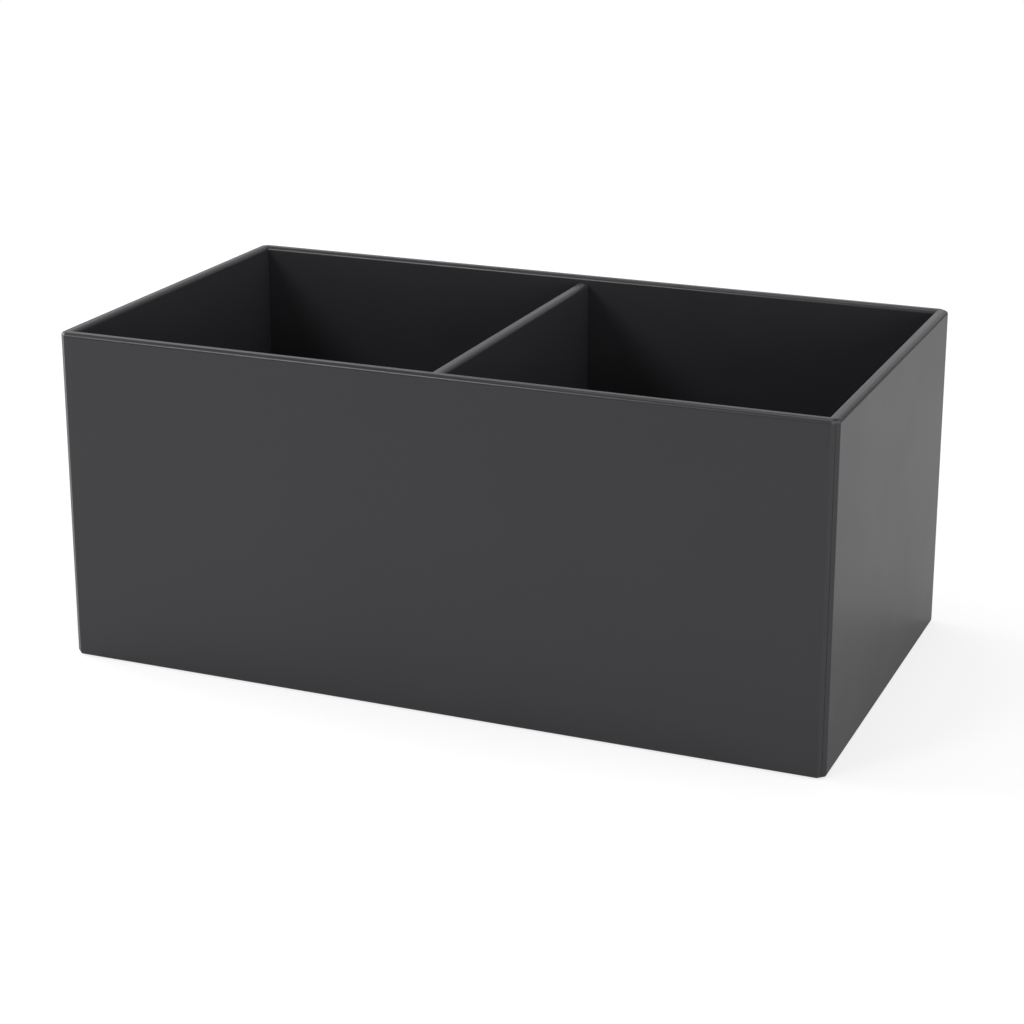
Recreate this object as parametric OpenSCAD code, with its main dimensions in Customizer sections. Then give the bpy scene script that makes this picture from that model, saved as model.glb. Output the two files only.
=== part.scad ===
// Open-topped storage box in lacquered board: four walls mitred at the corners,
// a base tongued into them and one divider dowelled across the middle.
// Millimetres. The origin is the middle of the footprint, on the floor.
// +X runs along the length, +Y to the back and +Z up.

/* [Overall size] */
// Outside width, from end to end
box_w = 698; // [400:1:1000]
// Outside depth, from front to back
box_d = 379; // [250:1:600]
// Height of the rim above the floor
box_h = 301; // [180:1:500]

/* [Boards] */
// Thickness of the four walls
wall_t = 11; // [10:0.1:16]
// Rounding along both edges of the walls' rim
rim_r = 4; // [1:0.1:4.5]
// Rounding along both of the walls' lower edges
foot_r = 3; // [1:0.1:4]
// Distance from the corner at which the bevel down each mitred end begins
bevel_w = 6; // [3:0.5:8]
// Rounding between a wall's outside face and its bevel
bevel_r = 1; // [0.3:0.1:2]
// Rounding between a wall's bevel and its mitre, which leaves a fine groove down the corner
arris_r = 0.5; // [0.2:0.1:1]

/* [Divider] */
// Thickness of the divider
divider_t = 11; // [10:0.1:16]
// Depth of the divider's top edge below the rim
divider_drop = 5.5; // [2:0.5:60]
// Place of the divider, to the right of the middle
divider_x = 0; // [-120:1:120]
// Rounding along both of the divider's top edges
divider_rim_r = 4; // [1:0.1:4.5]
// Rounding down the divider's four upright edges
divider_end_r = 2; // [0.8:0.1:2.2]
// Radius of the divider's two top corners, seen from the side
divider_corner_r = 4.5; // [4.5:0.5:12]

/* [Base] */
// Thickness of the base
base_t = 10; // [8:0.5:16]
// Height of the base's underside above the walls' lower edges
base_rise = 2.5; // [1:0.5:6]
// Thickness of the tongue round the top of the base
tongue_t = 5; // [3:0.5:6]
// Reach of the tongue into the walls
tongue_l = 5; // [2:0.5:5.5]
// Cut taken off each corner of the tongue
tongue_clip = 7; // [6:0.5:12]

/* [Corner splines] */
// Thickness of the loose spline in each mitre
spline_t = 3; // [2:0.5:3.5]
// Width of the spline, across the mitre
spline_w = 7.5; // [5:0.5:8]
// Distance of the spline's middle from the inside corner, along the mitre
spline_inset = 4; // [3:0.5:4.5]
// Distance of the spline's top end below the rim
spline_top = 14; // [8:1:40]
// Distance of the spline's bottom end above the base
spline_bottom = 8; // [4:1:40]

/* [Divider dowels] */
// Diameter of the dowels
dowel_d = 5; // [4:0.5:6]
// Reach of the dowels into the walls and the base
dowel_reach = 6; // [4:0.5:6.5]
// Reach of the dowels into the divider
dowel_depth = 14; // [10:1:20]
// Dowels along each jointed edge
dowel_count = 3; // [2:1:6]
// Distance of the outer dowels from the divider's corners
dowel_end = 40; // [30:1:60]
// Chamfer on the ends of the dowels
dowel_chamfer = 0.6; // [0.3:0.1:1]

/* [Floor pads] */
// Diameter of the felt pads
pad_d = 22; // [16:1:30]
// Distance that the pads stand below the walls' lower edges
pad_proud = 0.5; // [0.3:0.1:2]
// Distance of the pads' centres from the outside faces
pad_inset = 32; // [28:1:60]
// Rounding of the pads' lower edge
pad_edge_r = 0.4; // [0.2:0.1:0.8]

/* [Fits] */
// Glue gap on each side of a tongue, spline or dowel
glue_gap = 0.1; // [0.05:0.05:0.2]
// Room left beyond the end of a tongue, spline or dowel
end_gap = 0.5; // [0.3:0.1:1]

/* [Hidden] */
$fn = 48;
corner_names = ["front_left", "front_right", "back_left", "back_right"];
corner_signs = [[-1, -1], [1, -1], [-1, 1], [1, 1]];

lacquer_colour = [0.20, 0.20, 0.215];
birch_colour = [0.80, 0.68, 0.50];
beech_colour = [0.78, 0.60, 0.42];
felt_colour = [0.24, 0.24, 0.24];

wall_h = box_h - pad_proud;
wall_z = pad_proud;
inner_w = box_w - 2 * wall_t;
inner_d = box_d - 2 * wall_t;
base_z = wall_z + base_rise;
base_top = base_z + base_t;
tongue_z = base_top - tongue_t;
divider_h = box_h - divider_drop - base_top;
spline_z = base_top + spline_bottom;
spline_h = box_h - spline_top - spline_z;
dowel_r = dowel_d / 2;
side_dowel_z = [for (i = [0:dowel_count - 1])
    base_top + dowel_end + i * (divider_h - 2 * dowel_end) / (dowel_count - 1)];
base_dowel_y = [for (i = [0:dowel_count - 1])
    -inner_d / 2 + dowel_end + i * (inner_d - 2 * dowel_end) / (dowel_count - 1)];

// The bevel crosses the mitre at right angles, half its distance from each outside face.
bevel_half = bevel_w / 2;
// A rounding between the outside face and the bevel starts this far before the bevel's edge.
bevel_lead = bevel_r * tan(22.5);

// Rectangle with its lower left corner at the origin, rounded by low_r at its two lower
// corners and by high_r at its two upper ones.
module rounded_rectangle(width, height, low_r, high_r) {
    translate([0, low_r]) square([width, height - low_r - high_r]);
    translate([low_r, 0]) square([width - 2 * low_r, height / 2]);
    translate([high_r, height / 2]) square([width - 2 * high_r, height / 2]);
    for (x = [low_r, width - low_r]) translate([x, low_r]) circle(low_r);
    for (x = [high_r, width - high_r]) translate([x, height - high_r]) circle(high_r);
}

// Plan of a mitred wall, outside face on y = 0 and the inside face at y = wall_t.
module wall_plan(length) {
    half = length / 2;
    face = half - bevel_w - bevel_lead;
    bevel = half - bevel_w + bevel_lead * cos(45);
    arris = half - bevel_half - arris_r * sqrt(2);
    step = arris_r * sqrt(2) / 2;
    right = [
        [face, 0], [bevel, bevel_lead * sin(45)],
        [arris + step, bevel_half - step], [arris + step, bevel_half + step],
        [half - wall_t, wall_t],
    ];
    polygon(concat(right, [for (i = [len(right) - 1:-1:0]) [-right[i][0], right[i][1]]]));
    for (side = [-1, 1]) {
        translate([side * face, bevel_r]) circle(bevel_r);
        translate([side * arris, bevel_half]) circle(arris_r);
    }
}

module wall_blank(length) {
    translate([0, 0, wall_z]) intersection() {
        linear_extrude(wall_h) wall_plan(length);
        translate([-length / 2, 0, 0]) rotate([90, 0, 90])
            linear_extrude(length) rounded_rectangle(wall_t, wall_h, foot_r, rim_r);
    }
}

// Turned to the side that it stands on, and moved out to its place.
module at_wall(angle, distance) rotate(angle) translate([0, -distance / 2, 0]) children();

// Frame at an inside corner, with +X pointing out along the mitre.
module at_corner(sign) {
    translate([sign[0] * inner_w / 2, sign[1] * inner_d / 2, 0])
        rotate(atan2(sign[1], sign[0])) children();
}

module spline_solid(gap, room, end_room) {
    translate([spline_inset - spline_t / 2 - gap, -spline_w / 2 - room, spline_z - end_room])
        cube([spline_t + 2 * gap, spline_w + 2 * room, spline_h + 2 * end_room]);
}

// Outline of the base's tongue, with its corners cut off clear of the mitres' outside.
module tongue_plan(room) {
    half_w = inner_w / 2 + tongue_l + room;
    half_d = inner_d / 2 + tongue_l + room;
    polygon([
        [-half_w + tongue_clip, -half_d], [half_w - tongue_clip, -half_d],
        [half_w, -half_d + tongue_clip], [half_w, half_d - tongue_clip],
        [half_w - tongue_clip, half_d], [-half_w + tongue_clip, half_d],
        [-half_w, half_d - tongue_clip], [-half_w, -half_d + tongue_clip],
    ]);
}

// Dowel along +Z, from its end at z = -into_a to its end at z = into_b.
module dowel(into_a, into_b) {
    length = into_a + into_b;
    translate([0, 0, -into_a]) rotate_extrude() polygon([
        [0, 0], [dowel_r - dowel_chamfer, 0], [dowel_r, dowel_chamfer],
        [dowel_r, length - dowel_chamfer], [dowel_r - dowel_chamfer, length], [0, length],
    ]);
}

module dowel_hole() {
    translate([0, 0, -dowel_reach - end_gap])
        cylinder(h = dowel_reach + dowel_depth + 2 * end_gap, r = dowel_r + glue_gap);
}

// Each places its children with z = 0 on the joint and +Z pointing into the divider.
module at_front_dowels() {
    for (z = side_dowel_z) translate([divider_x, -inner_d / 2, z]) rotate([-90, 0, 0]) children();
}

module at_back_dowels() {
    for (z = side_dowel_z) translate([divider_x, inner_d / 2, z]) rotate([90, 0, 0]) children();
}

module at_base_dowels() {
    for (y = base_dowel_y) translate([divider_x, y, base_top]) children();
}

module wall(angle, length, distance) {
    difference() {
        at_wall(angle, distance) wall_blank(length);
        translate([0, 0, tongue_z]) linear_extrude(tongue_t + 2 * glue_gap) tongue_plan(end_gap);
        for (sign = corner_signs) at_corner(sign) spline_solid(glue_gap, end_gap, end_gap);
        at_front_dowels() dowel_hole();
        at_back_dowels() dowel_hole();
    }
}

module front_panel() color(lacquer_colour) wall(0, box_w, box_d);

module back_panel() color(lacquer_colour) wall(180, box_w, box_d);

module left_end_panel() color(lacquer_colour) wall(-90, box_d, box_w);

module right_end_panel() color(lacquer_colour) wall(90, box_d, box_w);

module base_panel() {
    color(lacquer_colour) difference() {
        union() {
            translate([-inner_w / 2 + glue_gap, -inner_d / 2 + glue_gap, base_z])
                cube([inner_w - 2 * glue_gap, inner_d - 2 * glue_gap, base_t]);
            translate([0, 0, tongue_z]) linear_extrude(tongue_t) tongue_plan(0);
        }
        at_base_dowels() dowel_hole();
    }
}

module divider_blank() {
    translate([divider_x - divider_t / 2, -inner_d / 2, base_top]) intersection() {
        translate([0, inner_d, 0]) rotate([90, 0, 0]) linear_extrude(inner_d)
            rounded_rectangle(divider_t, divider_h, divider_end_r, divider_rim_r);
        linear_extrude(divider_h)
            rounded_rectangle(divider_t, inner_d, divider_end_r, divider_end_r);
        rotate([90, 0, 90]) linear_extrude(divider_t) divider_side();
    }
}

// Side view of the divider: square at the base, with rounded top corners.
module divider_side() {
    square([inner_d, divider_h - divider_corner_r]);
    translate([divider_corner_r, 0]) square([inner_d - 2 * divider_corner_r, divider_h]);
    for (y = [divider_corner_r, inner_d - divider_corner_r])
        translate([y, divider_h - divider_corner_r]) circle(divider_corner_r);
}

module divider_panel() {
    color(lacquer_colour) difference() {
        divider_blank();
        at_front_dowels() dowel_hole();
        at_back_dowels() dowel_hole();
        at_base_dowels() dowel_hole();
    }
}

module corner_spline(sign) color(birch_colour) at_corner(sign) spline_solid(0, 0, 0);

module divider_front_dowels() color(beech_colour) at_front_dowels() dowel(dowel_reach, dowel_depth);

module divider_back_dowels() color(beech_colour) at_back_dowels() dowel(dowel_reach, dowel_depth);

module divider_base_dowels() color(beech_colour) at_base_dowels() dowel(dowel_reach, dowel_depth);

// Round felt pad between the floor and the underside of the base.
module floor_pad(sign) {
    pad_r = pad_d / 2;
    color(felt_colour)
        translate([sign[0] * (box_w / 2 - pad_inset), sign[1] * (box_d / 2 - pad_inset), 0])
        rotate_extrude() {
            square([pad_r - pad_edge_r, base_z]);
            translate([0, pad_edge_r]) square([pad_r, base_z - pad_edge_r]);
            translate([pad_r - pad_edge_r, pad_edge_r]) circle(pad_edge_r);
        }
}

front_panel();
back_panel();
left_end_panel();
right_end_panel();
base_panel();
divider_panel();
for (i = [0:len(corner_names) - 1]) {
    corner_spline(corner_signs[i]);
    floor_pad(corner_signs[i]);
}
divider_front_dowels();
divider_back_dowels();
divider_base_dowels();
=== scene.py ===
"""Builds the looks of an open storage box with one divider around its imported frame.

The box is made of lacquered boards: four walls mitred at the corners, a base tongued into
them and a divider dowelled across the middle. Everything is in metres, with +X along the
length, +Y to the back and +Z up, and the origin on the floor under the middle of the box.
"""

import math
import random

import bmesh
import bpy
from bpy.props import (
    FloatProperty,
    FloatVectorProperty,
    IntProperty,
    PointerProperty,
)
from mathutils import Matrix, Vector


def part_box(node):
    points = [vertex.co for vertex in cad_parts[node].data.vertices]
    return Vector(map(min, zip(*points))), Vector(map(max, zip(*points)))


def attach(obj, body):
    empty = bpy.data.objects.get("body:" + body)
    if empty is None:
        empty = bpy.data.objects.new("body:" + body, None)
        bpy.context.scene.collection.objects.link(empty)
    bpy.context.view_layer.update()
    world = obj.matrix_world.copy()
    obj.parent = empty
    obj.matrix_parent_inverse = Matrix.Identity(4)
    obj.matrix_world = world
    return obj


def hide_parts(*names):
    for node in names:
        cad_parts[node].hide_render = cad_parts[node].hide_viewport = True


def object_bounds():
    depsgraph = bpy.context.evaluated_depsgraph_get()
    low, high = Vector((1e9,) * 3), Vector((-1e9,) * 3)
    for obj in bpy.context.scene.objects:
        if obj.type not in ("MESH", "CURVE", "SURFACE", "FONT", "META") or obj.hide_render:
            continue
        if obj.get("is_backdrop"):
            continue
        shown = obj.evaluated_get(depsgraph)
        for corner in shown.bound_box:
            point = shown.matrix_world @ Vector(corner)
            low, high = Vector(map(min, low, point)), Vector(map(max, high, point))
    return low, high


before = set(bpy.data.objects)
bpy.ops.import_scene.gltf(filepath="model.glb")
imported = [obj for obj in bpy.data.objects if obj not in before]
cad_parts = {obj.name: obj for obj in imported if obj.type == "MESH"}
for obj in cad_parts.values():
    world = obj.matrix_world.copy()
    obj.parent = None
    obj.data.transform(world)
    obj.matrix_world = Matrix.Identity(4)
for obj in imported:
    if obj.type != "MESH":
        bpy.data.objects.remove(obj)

bl_info = {
    "name": "Lacquered Storage Box",
    "version": (1, 0, 0),
    "blender": (4, 5, 0),
    "location": "View3D > Sidebar > Storage Box",
    "description": "Builds the boards, joints and felt pads of an open storage box",
    "category": "Object",
}

MM = 0.001
# Points this close are one: in a frame node's mesh, beside a cutting plane, and after the cuts.
NODE_WELD = 0.001 * MM
CUT_WELD = 0.0001 * MM
SEAL_WELD = 0.002 * MM
# Faces that meet at less than this are shaded as one surface.
SHARP_ANGLE = math.radians(32)
# How far the lacquer's roughness, and the brightness of its colour, wander either way.
GLOSS_SWING = 0.02
TONE_SWING = 0.03
# Points round a felt pad, layers up its side, and rings of faces on its flat ends.
PAD_POINTS = 72
PAD_LAYERS = 4
PAD_RINGS = 5
SENSOR_WIDTH = 36.0
BODY = "root"
CORNERS = {
    "front_left": (-1, -1),
    "front_right": (1, -1),
    "back_left": (-1, 1),
    "back_right": (1, 1),
}
# Each pad's own start for the random draws of its nap.
CORNER_SEED = {corner: 11 + index for index, corner in enumerate(CORNERS)}
# Each wall's outward direction, and the direction that its board runs in.
WALLS = {
    "front_panel": (Vector((0, -1, 0)), Vector((1, 0, 0))),
    "back_panel": (Vector((0, 1, 0)), Vector((1, 0, 0))),
    "left_end_panel": (Vector((-1, 0, 0)), Vector((0, 1, 0))),
    "right_end_panel": (Vector((1, 0, 0)), Vector((0, 1, 0))),
}

# Softboxes: angle round from the back, clockwise from above, and angle above the level, in
# degrees; width and height in metres; brightness.
SOFTBOXES = {
    "back_low": (0, 11, 3.2, 1.3, 0.82),
    "right_low": (90, 11, 3.2, 1.3, 1.45),
    "front_right_low": (135, 11, 3.2, 1.3, 3.3),
    "left_low": (270, 11, 3.2, 1.3, 5.2),
    "back_left_low": (315, 11, 3.2, 1.3, 0.66),
    "back_middle": (0, 35, 2.6, 1.5, 0.67),
    "right_middle": (90, 35, 2.6, 1.5, 2.6),
    "front_left_middle": (225, 35, 2.6, 1.5, 0.83),
    "left_middle": (270, 35, 2.6, 1.5, 3.9),
    "back_left_middle": (315, 35, 2.6, 1.5, 1.2),
    "top": (0, 90, 2.4, 2.4, 2.2),
    "key": (208, 28, 1.2, 0.5, 16.5),
}


# --- Settings ------------------------------------------------------------------------------


class BoardSettings(bpy.types.PropertyGroup):
    """Shape of the lacquered boards."""

    rim_radius: FloatProperty(
        name="Rim rounding",
        description="Radius of the rounding along both edges of the walls' rim",
        default=4.0 * MM,
        min=0.001,
        max=0.0045,
        precision=5,
        unit="LENGTH",
    )
    foot_radius: FloatProperty(
        name="Foot rounding",
        description="Radius of the rounding along both of the walls' lower edges",
        default=3.0 * MM,
        min=0.001,
        max=0.004,
        precision=5,
        unit="LENGTH",
    )
    bevel_width: FloatProperty(
        name="Bevel",
        description="Distance from the corner at which the bevel down each mitred end begins",
        default=6.0 * MM,
        min=0.003,
        max=0.008,
        precision=5,
        unit="LENGTH",
    )
    bevel_radius: FloatProperty(
        name="Bevel rounding",
        description="Radius of the rounding between a wall's outside face and its bevel",
        default=1.0 * MM,
        min=0.0003,
        max=0.002,
        precision=5,
        unit="LENGTH",
    )
    divider_rim_radius: FloatProperty(
        name="Divider rim",
        description="Radius of the rounding along both of the divider's top edges",
        default=4.0 * MM,
        min=0.001,
        max=0.0045,
        precision=5,
        unit="LENGTH",
    )
    divider_end_radius: FloatProperty(
        name="Divider ends",
        description="Radius of the rounding down the divider's four upright edges",
        default=2.0 * MM,
        min=0.0005,
        max=0.003,
        precision=5,
        unit="LENGTH",
    )
    divider_corner_radius: FloatProperty(
        name="Divider corners",
        description="Radius of the divider's two top corners, seen from the side",
        default=4.5 * MM,
        min=0.002,
        max=0.012,
        precision=5,
        unit="LENGTH",
    )
    corner_step: FloatProperty(
        name="Corner step",
        description="Angle from one facet of a rounded corner to the next",
        default=math.radians(9.0),
        min=math.radians(4.0),
        max=math.radians(20.0),
        subtype="ANGLE",
    )


class LacquerSettings(bpy.types.PropertyGroup):
    """Finish of the lacquered boards."""

    colour: FloatVectorProperty(
        name="Colour",
        description="Colour of the sprayed lacquer",
        subtype="COLOR",
        size=3,
        min=0.0,
        max=1.0,
        default=(0.036, 0.036, 0.040),
    )
    roughness: FloatProperty(
        name="Roughness",
        description="Roughness of the lacquer",
        default=0.3,
        min=0.0,
        max=1.0,
        subtype="FACTOR",
    )
    peel_size: FloatProperty(
        name="Ripple size",
        description="Distance between the ripples that spraying leaves",
        default=2.5 * MM,
        min=0.0005,
        max=0.02,
        precision=4,
        unit="LENGTH",
    )
    peel_height: FloatProperty(
        name="Ripple height",
        description="Height of the ripples that spraying leaves",
        default=0.004 * MM,
        min=0.0,
        max=0.0001,
        precision=7,
        unit="LENGTH",
    )


class JointSettings(bpy.types.PropertyGroup):
    """The wooden splines and dowels inside the joints."""

    arris: FloatProperty(
        name="Spline arris",
        description="Width of the bevel that eases a spline's edges",
        default=0.25 * MM,
        min=0.0001,
        max=0.0006,
        precision=5,
        unit="LENGTH",
    )
    ply_colour: FloatVectorProperty(
        name="Plywood",
        description="Colour of the splines' birch plies",
        subtype="COLOR",
        size=3,
        min=0.0,
        max=1.0,
        default=(0.62, 0.47, 0.28),
    )
    dowel_colour: FloatVectorProperty(
        name="Beech",
        description="Colour of the dowels",
        subtype="COLOR",
        size=3,
        min=0.0,
        max=1.0,
        default=(0.58, 0.37, 0.20),
    )
    dowels: IntProperty(
        name="Dowels",
        description="Dowels along each jointed edge of the divider",
        default=3,
        min=2,
        max=6,
    )
    flutes: IntProperty(
        name="Flutes",
        description="Glue grooves round a dowel",
        default=20,
        min=8,
        max=32,
    )
    flute_depth: FloatProperty(
        name="Flute depth",
        description="Depth of the glue grooves",
        default=0.22 * MM,
        min=0.0,
        max=0.0005,
        precision=5,
        unit="LENGTH",
    )
    dowel_chamfer: FloatProperty(
        name="Dowel chamfer",
        description="Chamfer on the ends of the dowels",
        default=0.6 * MM,
        min=0.0001,
        max=0.001,
        precision=5,
        unit="LENGTH",
    )


class PadSettings(bpy.types.PropertyGroup):
    """The felt pads under the base."""

    colour: FloatVectorProperty(
        name="Colour",
        description="Colour of the felt",
        subtype="COLOR",
        size=3,
        min=0.0,
        max=1.0,
        default=(0.05, 0.05, 0.052),
    )
    edge_radius: FloatProperty(
        name="Pad rounding",
        description="Rounding of a pad's lower edge",
        default=0.4 * MM,
        min=0.0001,
        max=0.001,
        precision=5,
        unit="LENGTH",
    )
    nap: FloatProperty(
        name="Nap",
        description="How far the felt's surface wanders in from a true disc",
        default=0.08 * MM,
        min=0.0,
        max=0.0003,
        precision=5,
        unit="LENGTH",
    )


class StageSettings(bpy.types.PropertyGroup):
    """Camera, floor and lights."""

    camera_place: FloatVectorProperty(
        name="Camera place",
        description="Where the camera stands",
        subtype="TRANSLATION",
        unit="LENGTH",
        size=3,
        default=(0.7954, -1.9209, 0.8376),
    )
    camera_azimuth: FloatProperty(
        name="Camera azimuth",
        description="How far round to the right of the front the camera stands",
        default=math.radians(22.49),
        subtype="ANGLE",
    )
    camera_elevation: FloatProperty(
        name="Camera elevation",
        description="How far the camera looks down",
        default=math.radians(17.06),
        subtype="ANGLE",
    )
    lens: FloatProperty(
        name="Lens",
        description="Focal length on a sensor 36 mm wide",
        default=85.18,
        min=20.0,
        max=200.0,
        unit="CAMERA",
    )
    shift: FloatVectorProperty(
        name="Lens shift",
        description="Sideways and upward shift of the lens, in widths of the picture",
        size=2,
        default=(0.0001, -0.0804),
    )
    floor_size: FloatProperty(
        name="Floor size",
        description="Side of the pale floor",
        default=5.2,
        min=2.0,
        max=100.0,
        unit="LENGTH",
    )
    floor_paint: FloatProperty(
        name="Floor paint",
        description="How much of the light the floor gives back to the box",
        default=0.75,
        min=0.0,
        max=1.0,
        subtype="FACTOR",
    )
    floor_shade: FloatProperty(
        name="Floor shade",
        description="How much of the light, and so of the box's shadow, the camera sees on it",
        default=0.4,
        min=0.0,
        max=1.0,
        subtype="FACTOR",
    )
    floor_glow: FloatProperty(
        name="Floor glow",
        description="Brightness that the camera sees on the floor besides",
        default=0.72,
        min=0.0,
        max=2.0,
    )
    room_light: FloatProperty(
        name="Room light",
        description="Brightness of the even light from the room all round",
        default=0.06,
        min=0.0,
        max=5.0,
    )
    backdrop_light: FloatProperty(
        name="Backdrop",
        description="Brightness of the backdrop, which only the camera sees",
        default=1.0,
        min=0.0,
        max=5.0,
    )
    softbox_distance: FloatProperty(
        name="Softbox distance",
        description="Distance from the middle of the box to each softbox",
        default=4.0,
        min=1.0,
        max=10.0,
        unit="LENGTH",
    )


SETTINGS = {
    "box_boards": BoardSettings,
    "box_lacquer": LacquerSettings,
    "box_joints": JointSettings,
    "box_pads": PadSettings,
    "box_stage": StageSettings,
}


# --- Materials -----------------------------------------------------------------------------


class NodeBench:
    """Adds a material's nodes one by one, and sets or links their inputs by name."""

    def __init__(self, name):
        self.material = bpy.data.materials.new(name)
        self.material.use_nodes = True
        self.tree = self.material.node_tree
        self.shader = self.tree.nodes["Principled BSDF"]
        self.column = 0

    def node(self, kind, inputs=None, **options):
        made = self.tree.nodes.new(kind)
        self.column -= 190
        made.location = (self.column, 0)
        for key, value in options.items():
            setattr(made, key, value)
        for socket, value in (inputs or {}).items():
            self.feed(made, socket, value)
        return made

    def feed(self, node, socket, value):
        if isinstance(value, bpy.types.NodeSocket):
            self.tree.links.new(value, node.inputs[socket])
        else:
            node.inputs[socket].default_value = value

    def set(self, **inputs):
        for socket, value in inputs.items():
            self.feed(self.shader, socket.replace("_", " "), value)


def once(name, make):
    """The material of that name, made the first time that it is wanted."""
    return bpy.data.materials.get(name) or make()


def lacquer_material():
    """Satin lacquer sprayed on fibreboard: faint ripples, and gloss that varies a little."""
    lacquer = bpy.context.scene.box_lacquer
    bench = NodeBench("satin_lacquer")
    place = bench.node("ShaderNodeTexCoord").outputs["Object"]
    cloud = bench.node(
        "ShaderNodeTexNoise",
        {"Vector": place, "Scale": 9.0, "Detail": 3.0, "Roughness": 0.6},
    )
    gloss = bench.node(
        "ShaderNodeMapRange",
        {
            "Value": cloud.outputs["Fac"],
            "From Min": 0.3,
            "From Max": 0.7,
            "To Min": lacquer.roughness - GLOSS_SWING,
            "To Max": lacquer.roughness + GLOSS_SWING,
        },
    )
    tone = bench.node(
        "ShaderNodeMapRange",
        {
            "Value": cloud.outputs["Fac"],
            "From Min": 0.3,
            "From Max": 0.7,
            "To Min": 1 - TONE_SWING,
            "To Max": 1 + TONE_SWING,
        },
    )
    colour = bench.node(
        "ShaderNodeVectorMath",
        {0: tuple(lacquer.colour), "Scale": tone.outputs["Result"]},
        operation="SCALE",
    )
    ripple = bench.node(
        "ShaderNodeTexNoise",
        {"Vector": place, "Scale": 1.0 / lacquer.peel_size, "Detail": 2.0, "Roughness": 0.5},
    )
    bump = bench.node(
        "ShaderNodeBump",
        {
            "Height": ripple.outputs["Fac"],
            "Strength": 1.0,
            "Distance": lacquer.peel_height,
        },
    )
    bench.set(
        Base_Color=colour.outputs["Vector"],
        Roughness=gloss.outputs["Result"],
        Normal=bump.outputs["Normal"],
        IOR=1.5,
    )
    return bench.material


def plywood_material():
    """Birch plywood, with its plies across the strip and its grain along it."""
    joints = bpy.context.scene.box_joints
    bench = NodeBench("birch_plywood")
    strip = bench.node("ShaderNodeUVMap", uv_map="strip")
    across = bench.node("ShaderNodeSeparateXYZ", {"Vector": strip.outputs["UV"]})
    plies = bench.node("ShaderNodeValToRGB", {"Fac": across.outputs["X"]})
    face_ply = (*joints.ply_colour, 1)
    core_ply = (*[0.78 * part for part in joints.ply_colour], 1)
    glue = (*[0.35 * part for part in joints.ply_colour], 1)
    ramp = plies.color_ramp
    ramp.interpolation = "CONSTANT"
    bands = ((0.0, face_ply), (0.30, glue), (0.33, core_ply), (0.67, glue), (0.70, face_ply))
    for place, colour in bands:
        stop = ramp.elements[0] if place == 0.0 else ramp.elements.new(place)
        stop.color = colour
    ramp.elements.remove(ramp.elements[-1])
    place = bench.node("ShaderNodeTexCoord").outputs["Object"]
    drawn = bench.node("ShaderNodeMapping", {"Vector": place, "Scale": (900, 900, 30)})
    grain = bench.node("ShaderNodeTexNoise", {"Vector": drawn.outputs["Vector"], "Detail": 3})
    tone = bench.node(
        "ShaderNodeMapRange",
        {"Value": grain.outputs["Fac"], "To Min": 0.78, "To Max": 1.18},
    )
    colour = bench.node(
        "ShaderNodeVectorMath",
        {0: plies.outputs["Color"], "Scale": tone.outputs["Result"]},
        operation="SCALE",
    )
    bump = bench.node(
        "ShaderNodeBump", {"Height": grain.outputs["Fac"], "Distance": 0.03 * MM}
    )
    bench.set(
        Base_Color=colour.outputs["Vector"],
        Roughness=0.62,
        Normal=bump.outputs["Normal"],
    )
    return bench.material


def beech_material():
    """Bare beech, with short dark flecks along the grain."""
    joints = bpy.context.scene.box_joints
    bench = NodeBench("bare_beech")
    strip = bench.node("ShaderNodeUVMap", uv_map="strip")
    drawn = bench.node(
        "ShaderNodeMapping", {"Vector": strip.outputs["UV"], "Scale": (2400, 260, 1)}
    )
    fleck = bench.node("ShaderNodeTexNoise", {"Vector": drawn.outputs["Vector"], "Detail": 3})
    tone = bench.node(
        "ShaderNodeMapRange",
        {"Value": fleck.outputs["Fac"], "From Min": 0.3, "To Min": 0.62, "To Max": 1.25},
    )
    colour = bench.node(
        "ShaderNodeVectorMath",
        {0: tuple(joints.dowel_colour), "Scale": tone.outputs["Result"]},
        operation="SCALE",
    )
    bump = bench.node(
        "ShaderNodeBump", {"Height": fleck.outputs["Fac"], "Distance": 0.03 * MM}
    )
    bench.set(
        Base_Color=colour.outputs["Vector"],
        Roughness=0.6,
        Normal=bump.outputs["Normal"],
    )
    return bench.material


def felt_material():
    """Dense needled felt: matted fibres, a soft bloom and no gloss."""
    pads = bpy.context.scene.box_pads
    bench = NodeBench("felt")
    place = bench.node("ShaderNodeTexCoord").outputs["Object"]
    fibres = bench.node(
        "ShaderNodeTexNoise",
        {"Vector": place, "Scale": 1800.0, "Detail": 4.0, "Roughness": 0.7, "Distortion": 2.0},
    )
    tone = bench.node(
        "ShaderNodeMapRange",
        {"Value": fibres.outputs["Fac"], "From Min": 0.3, "From Max": 0.7, "To Min": 0.6,
         "To Max": 1.5},
    )
    colour = bench.node(
        "ShaderNodeVectorMath",
        {0: tuple(pads.colour), "Scale": tone.outputs["Result"]},
        operation="SCALE",
    )
    bump = bench.node("ShaderNodeBump", {"Height": fibres.outputs["Fac"], "Distance": 0.2 * MM})
    bench.set(
        Base_Color=colour.outputs["Vector"],
        Roughness=0.95,
        Normal=bump.outputs["Normal"],
        Sheen_Weight=0.4,
        Sheen_Roughness=0.5,
    )
    return bench.material


# --- Mesh tools ----------------------------------------------------------------------------


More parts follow.
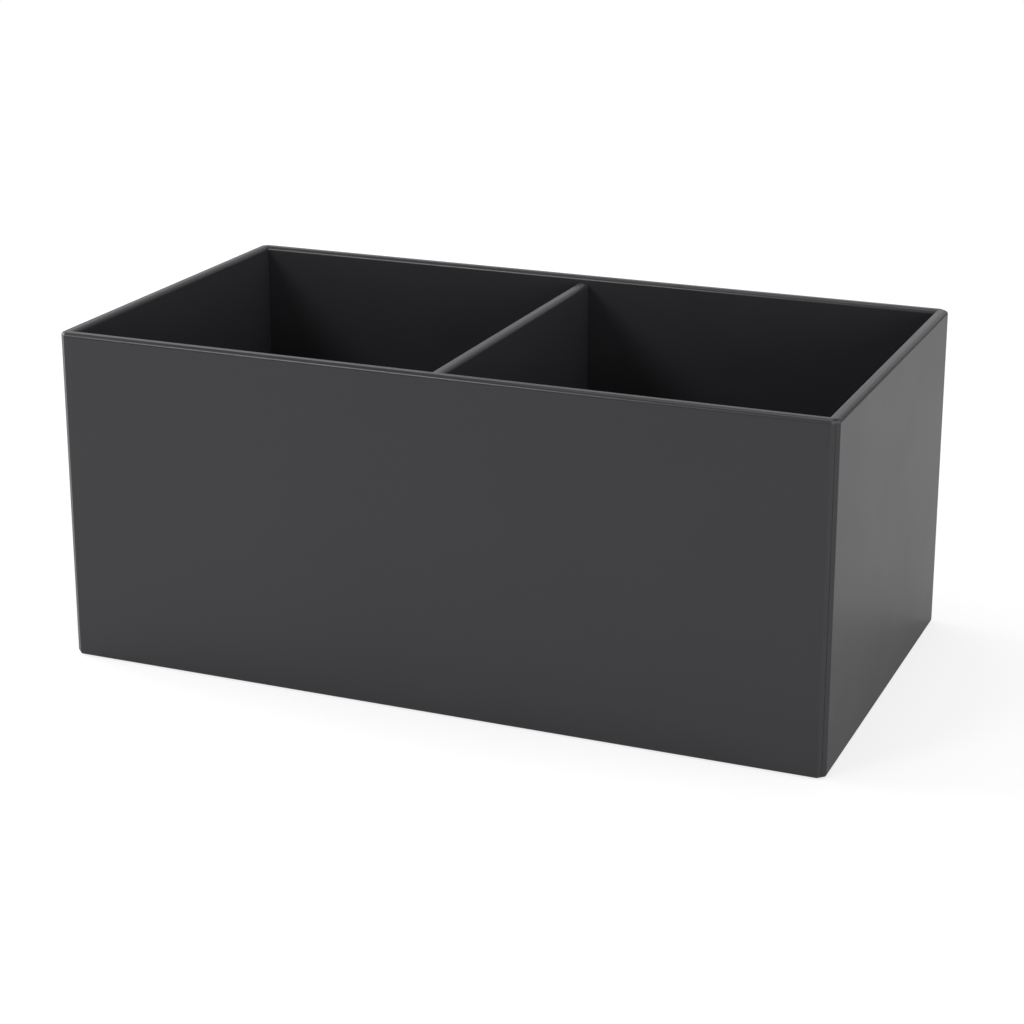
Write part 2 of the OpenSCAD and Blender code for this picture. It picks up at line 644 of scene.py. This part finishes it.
def merged_copy(node):
    """A bmesh of a frame node's shape, with its loose triangles joined into clean faces."""
    bm = bmesh.new()
    bm.from_mesh(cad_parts[node].data)
    bmesh.ops.remove_doubles(bm, verts=bm.verts, dist=NODE_WELD)
    bmesh.ops.dissolve_limit(
        bm,
        angle_limit=math.radians(0.2),
        use_dissolve_boundaries=False,
        verts=bm.verts,
        edges=bm.edges,
        delimit=set(),
    )
    return bm


def slice_off(bm, point, normal):
    """Cuts away what lies beyond a plane, and closes the cut with one face."""
    cut = bmesh.ops.bisect_plane(
        bm,
        geom=bm.verts[:] + bm.edges[:] + bm.faces[:],
        dist=CUT_WELD,
        plane_co=point,
        plane_no=normal,
        clear_outer=True,
    )
    rim = [e for e in cut["geom_cut"] if isinstance(e, bmesh.types.BMEdge) and e.is_boundary]
    if rim:
        bmesh.ops.contextual_create(bm, geom=rim)


def seal(bm, name):
    """Joins what slicing left a hair apart, closes any crack, and makes faces point out."""
    bmesh.ops.remove_doubles(bm, verts=bm.verts, dist=SEAL_WELD)
    cracks = [edge for edge in bm.edges if edge.is_boundary]
    if cracks:
        bmesh.ops.holes_fill(bm, edges=cracks, sides=0)
    bmesh.ops.recalc_face_normals(bm, faces=bm.faces)
    if any(not edge.is_manifold for edge in bm.edges):
        raise RuntimeError(f"{name} isn't closed")


def steps(start, end, size):
    """Angles between start and end, evenly spaced and about size apart, without the ends."""
    count = max(2, round(abs(end - start) / size))
    return [start + (end - start) * i / count for i in range(1, count)]


def abs_vector(vector):
    """The vector with each of its three numbers made positive."""
    return Vector([abs(value) for value in vector])


def round_bevel_end(bm, centre, out, end, up, radius):
    """Carries the rounding of a wall's rim or foot round onto the bevel at a mitred end.
    centre is on the axis of the rounding between face and bevel, level with the axis of the
    other one, whose radius is given. out points away from the wall's face, end along the
    board from its middle, and up is -1 at the foot."""
    boards = bpy.context.scene.box_boards
    quarter = math.pi / 2
    for turn in [*steps(0, quarter / 2, boards.corner_step), quarter / 2]:
        level = out * math.cos(turn) + end * math.sin(turn)
        pivot = centre + level * (boards.bevel_radius - radius)
        for lift in steps(0, quarter, boards.corner_step):
            normal = level * math.cos(lift) + Vector((0, 0, up * math.sin(lift)))
            slice_off(bm, pivot + normal * radius, normal)


def smooth_roundings(bm):
    """Shades a board smooth, except at the edges that stay sharp."""
    for face in bm.faces:
        face.smooth = True
    for edge in bm.edges:
        edge.smooth = edge.calc_face_angle() < SHARP_ANGLE


def finish_piece(bm, name, materials, nodes):
    """Makes a bmesh into a piece that rides on the box and stands for its frame nodes."""
    mesh = bpy.data.meshes.new(name)
    bm.to_mesh(mesh)
    bm.free()
    for material in materials:
        mesh.materials.append(material)
    piece = bpy.data.objects.new(name, mesh)
    bpy.context.scene.collection.objects.link(piece)
    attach(piece, BODY)
    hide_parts(*nodes)
    return piece


def finish_board(bm, node):
    """Makes a board in lacquer, with its flat faces kept flat to the light."""
    smooth_roundings(bm)
    piece = finish_piece(bm, node.replace("_panel", "_board"),
                         [once("satin_lacquer", lacquer_material)], [node])
    weigh = piece.modifiers.new("level_shading", "WEIGHTED_NORMAL")
    weigh.mode = "FACE_AREA"
    weigh.keep_sharp = True
    weigh.weight = 50
    return piece


# --- Pieces --------------------------------------------------------------------------------


def wall_board(node, out, run):
    """A mitred wall, from the frame's shape, with its rim and foot rounded to the corners."""
    bm = merged_copy(node)
    boards = bpy.context.scene.box_boards
    low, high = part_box(node)
    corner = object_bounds()[1]
    axis_out = out * (corner.dot(abs_vector(out)) - boards.bevel_radius)
    lead = boards.bevel_radius * math.tan(math.pi / 8)
    reach = corner.dot(run) - boards.bevel_width - lead
    for side in (-1, 1):
        for up, edge, radius in ((-1, low, boards.foot_radius), (1, high, boards.rim_radius)):
            centre = axis_out + run * (side * reach)
            centre.z = edge.z - up * radius
            round_bevel_end(bm, centre, out, run * side, up, radius)
    seal(bm, node)
    return finish_board(bm, node)


def divider_board():
    """The divider, from the frame's shape, with its two rounded top corners."""
    boards = bpy.context.scene.box_boards
    node = "divider_panel"
    bm = merged_copy(node)
    low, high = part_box(node)
    corner = boards.divider_corner_radius
    growth = boards.divider_rim_radius - boards.divider_end_radius
    for back in (-1, 1):
        turn_y = (high.y - corner) if back > 0 else (low.y + corner)
        for side in (-1, 1):
            face_x = high.x if side > 0 else low.x
            centre = Vector((face_x, turn_y, high.z - corner))
            for turn in steps(0, math.pi / 2, boards.corner_step):
                outward = Vector((0, back * math.cos(turn), math.sin(turn)))
                edge = boards.divider_end_radius + growth * math.sin(turn) ** 2
                ring = centre + outward * (corner - edge) - Vector((side * edge, 0, 0))
                for lean in steps(0, math.pi / 2, boards.corner_step):
                    normal = outward * math.cos(lean) + Vector((side * math.sin(lean), 0, 0))
                    slice_off(bm, ring + normal * edge, normal)
    seal(bm, node)
    return finish_board(bm, node)


def base_board():
    """The base with its tongue, from the frame's shape."""
    node = "base_panel"
    bm = merged_copy(node)
    seal(bm, node)
    return finish_board(bm, node)


def corner_spline(corner, signs):
    """A plywood strip with eased edges, and a UV map across its thickness."""
    node = f"{corner}_spline"
    bm = merged_copy(node)
    bmesh.ops.bevel(
        bm,
        geom=bm.edges[:],
        offset=bpy.context.scene.box_joints.arris,
        offset_type="OFFSET",
        segments=2,
        profile=0.5,
        affect="EDGES",
        material=-1,
    )
    low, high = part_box(node)
    out = Vector((*signs, 0)).normalized()
    depths = [vert.co.dot(out) for vert in bm.verts]
    thickness = max(depths) - min(depths)
    uv = bm.loops.layers.uv.new("strip")
    for face in bm.faces:
        face.smooth = False
        for loop in face.loops:
            depth = loop.vert.co.dot(out) - min(depths)
            loop[uv].uv = (depth / thickness, loop.vert.co.z)
    return finish_piece(bm, f"{corner}_plywood_spline",
                        [once("birch_plywood", plywood_material)], [node])


def add_dowel(bm, place, radius, length):
    """Adds one fluted dowel with chamfered ends. place carries +Z along it, from its end."""
    joints = bpy.context.scene.box_joints
    points = 4 * joints.flutes
    chamfer = joints.dowel_chamfer
    started = set(bm.verts)
    ring = bmesh.ops.create_circle(bm, cap_ends=True, segments=points, radius=radius)["verts"]
    grooved = (radius - joints.flute_depth) / radius
    bmesh.ops.scale(bm, vec=(grooved, grooved, 1), verts=ring[::4])
    narrow = (radius - chamfer) / radius
    bmesh.ops.scale(bm, vec=(narrow, narrow, 1), verts=ring)
    cap = ring[0].link_faces[0]
    for rise, swell in ((chamfer, 1 / narrow), (length - 2 * chamfer, 1), (chamfer, narrow)):
        made = bmesh.ops.extrude_face_region(bm, geom=[cap, *cap.edges])
        cap = next(item for item in made["geom"] if isinstance(item, bmesh.types.BMFace))
        bmesh.ops.translate(bm, vec=(0, 0, rise), verts=cap.verts)
        bmesh.ops.scale(bm, vec=(swell, swell, 1), verts=cap.verts)
    added = [vert for vert in bm.verts if vert not in started]
    uv = bm.loops.layers.uv.verify()
    for vert in added:
        for loop in vert.link_loops:
            loop[uv].uv = (math.atan2(vert.co.y, vert.co.x) * radius, vert.co.z)
    bmesh.ops.transform(bm, matrix=place, verts=added)


def dowel_row(side, along, spread):
    """The dowels of one edge of the divider. along is the axis that they lie on, and spread
    the axis that they are spaced on."""
    node = f"divider_{side}_dowels"
    low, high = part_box(node)
    middle = (low + high) / 2
    radius = (high.x - low.x) / 2
    count = bpy.context.scene.box_joints.dowels
    turn = {"y": Matrix.Rotation(-math.pi / 2, 4, "X"), "z": Matrix.Identity(4)}[along]
    axis = "xyz".index(along)
    step = "xyz".index(spread)
    bm = bmesh.new()
    bm.loops.layers.uv.new("strip")
    for index in range(count):
        place = middle.copy()
        place[axis] = low[axis]
        first = low[step] + radius
        place[step] = first + (high[step] - radius - first) * index / (count - 1)
        add_dowel(bm, Matrix.Translation(place) @ turn, radius, high[axis] - low[axis])
    bmesh.ops.recalc_face_normals(bm, faces=bm.faces)
    return finish_piece(bm, f"divider_{side}_beech_dowels",
                        [once("bare_beech", beech_material)], [node])


def floor_pad(corner):
    """A round felt pad with a soft lower edge and a slightly uneven nap."""
    pads = bpy.context.scene.box_pads
    node = f"{corner}_pad"
    low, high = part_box(node)
    radius = (high.x - low.x) / 2 - pads.nap / 2
    bm = bmesh.new()
    ring = bmesh.ops.create_circle(
        bm, cap_ends=True, segments=PAD_POINTS, radius=radius
    )["verts"]
    under = ring[0].link_faces[0]
    cap = under
    height = high.z - low.z
    for _ in range(PAD_LAYERS):
        made = bmesh.ops.extrude_face_region(bm, geom=[cap, *cap.edges])
        cap = next(item for item in made["geom"] if isinstance(item, bmesh.types.BMFace))
        bmesh.ops.translate(bm, vec=(0, 0, height / PAD_LAYERS), verts=cap.verts)
    bmesh.ops.bevel(
        bm,
        geom=list(under.edges),
        offset=pads.edge_radius,
        offset_type="OFFSET",
        segments=3,
        profile=0.5,
        affect="EDGES",
        material=-1,
    )
    bmesh.ops.recalc_face_normals(bm, faces=bm.faces)
    for level in (0, height):
        flat = [f for f in bm.faces if len(f.verts) > 4 and abs(f.verts[0].co.z - level) < 1e-6]
        for _ in range(PAD_RINGS):
            bmesh.ops.inset_region(bm, faces=flat, thickness=radius / (PAD_RINGS + 1.5),
                                   depth=0, use_even_offset=True)
    wander = random.Random(CORNER_SEED[corner])
    for vert in bm.verts:
        inward = Vector((-vert.co.x, -vert.co.y, height / 2 - vert.co.z))
        if inward.length > 0 and vert.co.z < height - 1e-6:
            vert.co += inward.normalized() * wander.uniform(0, pads.nap)
    for face in bm.faces:
        face.smooth = True
    middle = (low + high) / 2
    bmesh.ops.translate(bm, vec=(middle.x, middle.y, low.z), verts=bm.verts)
    return finish_piece(bm, f"{corner}_felt_pad", [once("felt", felt_material)], [node])


# --- Operators -----------------------------------------------------------------------------


class BOX_OT_walls(bpy.types.Operator):
    """Makes the four mitred walls"""

    bl_idname = "storage_box.walls"
    bl_label = "Walls"

    def execute(self, context):
        for node, (out, run) in WALLS.items():
            wall_board(node, out, run)
        return {"FINISHED"}


class BOX_OT_divider(bpy.types.Operator):
    """Makes the divider"""

    bl_idname = "storage_box.divider"
    bl_label = "Divider"

    def execute(self, context):
        divider_board()
        return {"FINISHED"}


class BOX_OT_base(bpy.types.Operator):
    """Makes the base"""

    bl_idname = "storage_box.base"
    bl_label = "Base"

    def execute(self, context):
        base_board()
        return {"FINISHED"}


class BOX_OT_splines(bpy.types.Operator):
    """Makes the plywood splines in the mitres"""

    bl_idname = "storage_box.splines"
    bl_label = "Splines"

    def execute(self, context):
        for corner, signs in CORNERS.items():
            corner_spline(corner, signs)
        return {"FINISHED"}


class BOX_OT_dowels(bpy.types.Operator):
    """Makes the beech dowels of the divider"""

    bl_idname = "storage_box.dowels"
    bl_label = "Dowels"

    def execute(self, context):
        dowel_row("front", "y", "z")
        dowel_row("back", "y", "z")
        dowel_row("base", "z", "y")
        return {"FINISHED"}


class BOX_OT_pads(bpy.types.Operator):
    """Makes the felt pads under the base"""

    bl_idname = "storage_box.pads"
    bl_label = "Felt Pads"

    def execute(self, context):
        for corner in CORNERS:
            floor_pad(corner)
        return {"FINISHED"}


class BOX_OT_stage(bpy.types.Operator):
    """Lays the floor and sets up the lights and the camera"""

    bl_idname = "storage_box.stage"
    bl_label = "Stage"

    def execute(self, context):
        lay_floor()
        set_camera()
        set_lights()
        return {"FINISHED"}


def lay_floor():
    """The pale floor. It gives light back to the box as paint does, and the camera sees it
    paler, with a fainter shadow."""
    stage = bpy.context.scene.box_stage
    bm = bmesh.new()
    bmesh.ops.create_grid(bm, x_segments=1, y_segments=1, size=stage.floor_size / 2)
    mesh = bpy.data.meshes.new("floor")
    bm.to_mesh(mesh)
    bm.free()
    bench = NodeBench("pale_floor")
    seen = bench.node("ShaderNodeLightPath").outputs["Is Camera Ray"]
    paint = bench.node(
        "ShaderNodeMapRange",
        {"Value": seen, "To Min": stage.floor_paint, "To Max": stage.floor_shade},
    )
    glow = bench.node("ShaderNodeMath", {0: seen, 1: stage.floor_glow}, operation="MULTIPLY")
    bench.set(
        Base_Color=paint.outputs["Result"],
        Roughness=0.9,
        Specular_IOR_Level=0.0,
        Emission_Color=(1, 1, 1, 1),
        Emission_Strength=glow.outputs["Value"],
    )
    mesh.materials.append(bench.material)
    floor = bpy.data.objects.new("floor", mesh)
    bpy.context.scene.collection.objects.link(floor)
    floor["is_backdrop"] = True


def set_camera():
    """The camera, level from side to side, with its lens shifted to place the box."""
    stage = bpy.context.scene.box_stage
    data = bpy.data.cameras.new("camera")
    data.sensor_width = SENSOR_WIDTH
    data.lens = stage.lens
    data.shift_x, data.shift_y = stage.shift
    data.clip_end = 100.0
    camera = bpy.data.objects.new("camera", data)
    bpy.context.scene.collection.objects.link(camera)
    tilt = Matrix.Rotation(math.pi / 2 - stage.camera_elevation, 4, "X")
    turn = Matrix.Rotation(stage.camera_azimuth, 4, "Z")
    camera.matrix_world = Matrix.Translation(stage.camera_place) @ turn @ tilt
    bpy.context.scene.camera = camera


def set_lights():
    """The softboxes, the room's faint even light, and the white backdrop that the camera sees
    in its place."""
    scene = bpy.context.scene
    scene.view_settings.view_transform = "Standard"
    world = bpy.data.worlds.new("studio")
    world.use_nodes = True
    nodes = world.node_tree.nodes
    room = nodes["Background"]
    room.inputs["Color"].default_value = (1, 1, 1, 1)
    backdrop = nodes.new("ShaderNodeMapRange")
    backdrop.inputs["To Min"].default_value = scene.box_stage.room_light
    backdrop.inputs["To Max"].default_value = scene.box_stage.backdrop_light
    seen = nodes.new("ShaderNodeLightPath").outputs["Is Camera Ray"]
    world.node_tree.links.new(seen, backdrop.inputs["Value"])
    world.node_tree.links.new(backdrop.outputs["Result"], room.inputs["Strength"])
    scene.world = world
    for name, softbox in SOFTBOXES.items():
        hang_softbox(name, *softbox)


def hang_softbox(name, azimuth, elevation, width, height, brightness):
    """Hangs a softbox that faces the box, and that the camera doesn't see."""
    data = bpy.data.lights.new(name, "AREA")
    data.shape = "RECTANGLE"
    data.size = width
    data.size_y = height
    data.energy = brightness * math.pi * width * height
    turn, rise = math.radians(azimuth), math.radians(elevation)
    level = math.cos(rise)
    away = Vector((math.sin(turn) * level, math.cos(turn) * level, math.sin(rise)))
    softbox = bpy.data.objects.new(name, data)
    bpy.context.scene.collection.objects.link(softbox)
    facing = away.to_track_quat("Z", "Y").to_matrix().to_4x4()
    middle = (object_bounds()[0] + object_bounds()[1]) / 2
    distance = bpy.context.scene.box_stage.softbox_distance
    softbox.matrix_world = Matrix.Translation(middle + away * distance) @ facing
    softbox.visible_camera = False


class BOX_PT_panel(bpy.types.Panel):
    """Lists the steps that build the box"""

    bl_idname = "BOX_PT_panel"
    bl_label = "Storage Box"
    bl_space_type = "VIEW_3D"
    bl_region_type = "UI"
    bl_category = "Storage Box"

    def draw(self, context):
        for operator in STEPS:
            self.layout.operator(operator.bl_idname)


STEPS = (
    BOX_OT_walls,
    BOX_OT_base,
    BOX_OT_divider,
    BOX_OT_splines,
    BOX_OT_dowels,
    BOX_OT_pads,
    BOX_OT_stage,
)
CLASSES = (*SETTINGS.values(), *STEPS, BOX_PT_panel)


def register():
    for made in CLASSES:
        bpy.utils.register_class(made)
    for name, group in SETTINGS.items():
        setattr(bpy.types.Scene, name, PointerProperty(type=group))


def unregister():
    for name in SETTINGS:
        delattr(bpy.types.Scene, name)
    for made in reversed(CLASSES):
        bpy.utils.unregister_class(made)


def main():
    """Builds the whole box and its stage."""
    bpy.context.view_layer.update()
    register()
    for operator in STEPS:
        group, step = operator.bl_idname.split(".")
        getattr(getattr(bpy.ops, group), step)()


if __name__ == "__main__":
    main()
